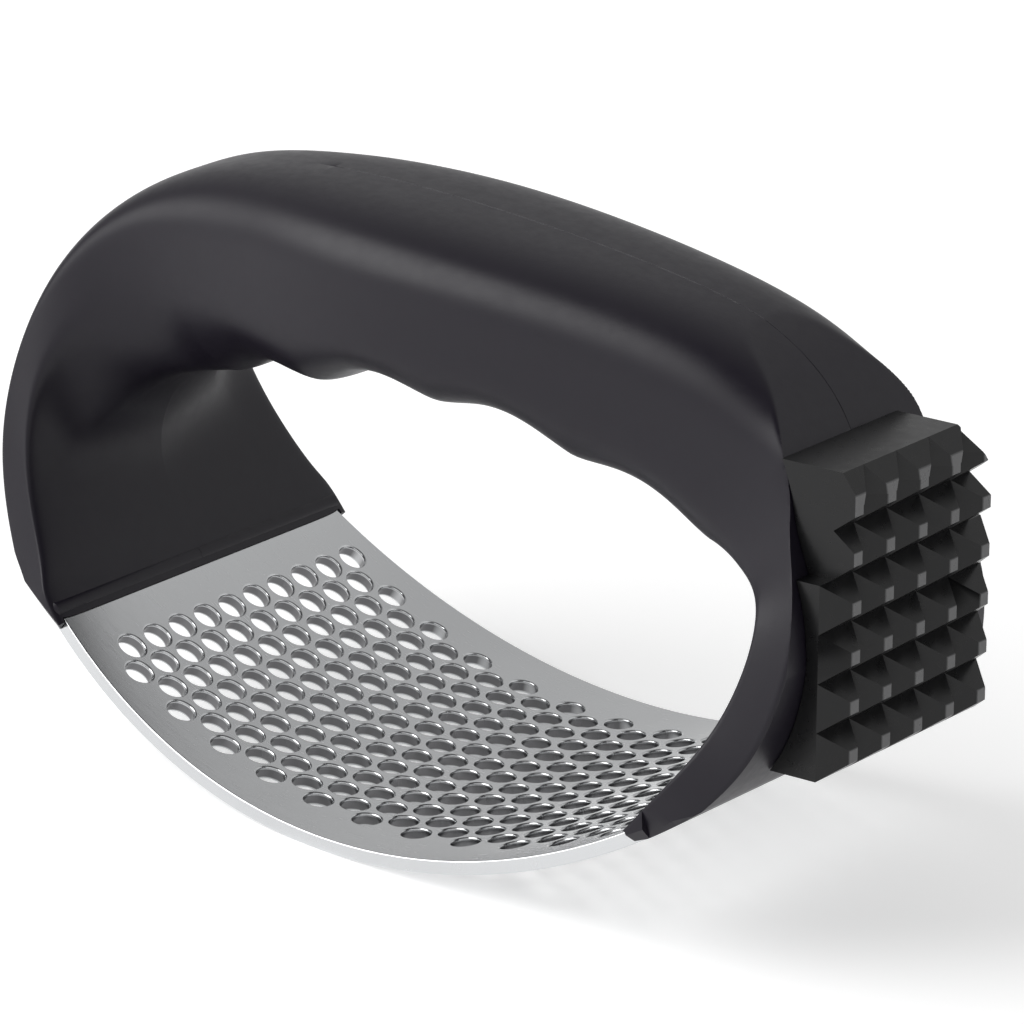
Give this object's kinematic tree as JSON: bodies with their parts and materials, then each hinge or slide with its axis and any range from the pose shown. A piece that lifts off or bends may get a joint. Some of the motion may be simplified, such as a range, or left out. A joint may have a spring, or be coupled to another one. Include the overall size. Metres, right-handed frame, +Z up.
{
  "type": "rocker garlic press",
  "caption": "Hand-held rocker garlic press: hollow black grip arched over a curved perforated steel plate, with a toothed meat tenderizer block on one leg.",
  "frame": {"origin": "underside of the curved plate at its lowest point, midway across its width", "axes": "+X along the ring towards the tenderizer block, +Y across the plate away from the plain front side of the handle, +Z up from the plate to the grip"},
  "size_m": [0.0978, 0.049, 0.0572],
  "materials": {
    "handle_plastic": "black satin moulded plastic, lightly textured",
    "block_plastic": "black semi-gloss moulded plastic",
    "plate_steel": "satin stainless sheet with polished edges and hole rims",
    "screw_steel": "bright plated steel"
  },
  "bodies": {
    "root": {"handle_front_shell": "handle_plastic", "handle_rear_shell": "handle_plastic", "press_plate": "plate_steel", "tenderizer_block": "block_plastic", "shell_screw_1": "screw_steel", "shell_screw_2": "screw_steel", "shell_screw_3": "screw_steel", "shell_screw_4": "screw_steel", "block_screw_upper": "screw_steel", "block_screw_lower": "screw_steel"}
  },
  "joints": []
}
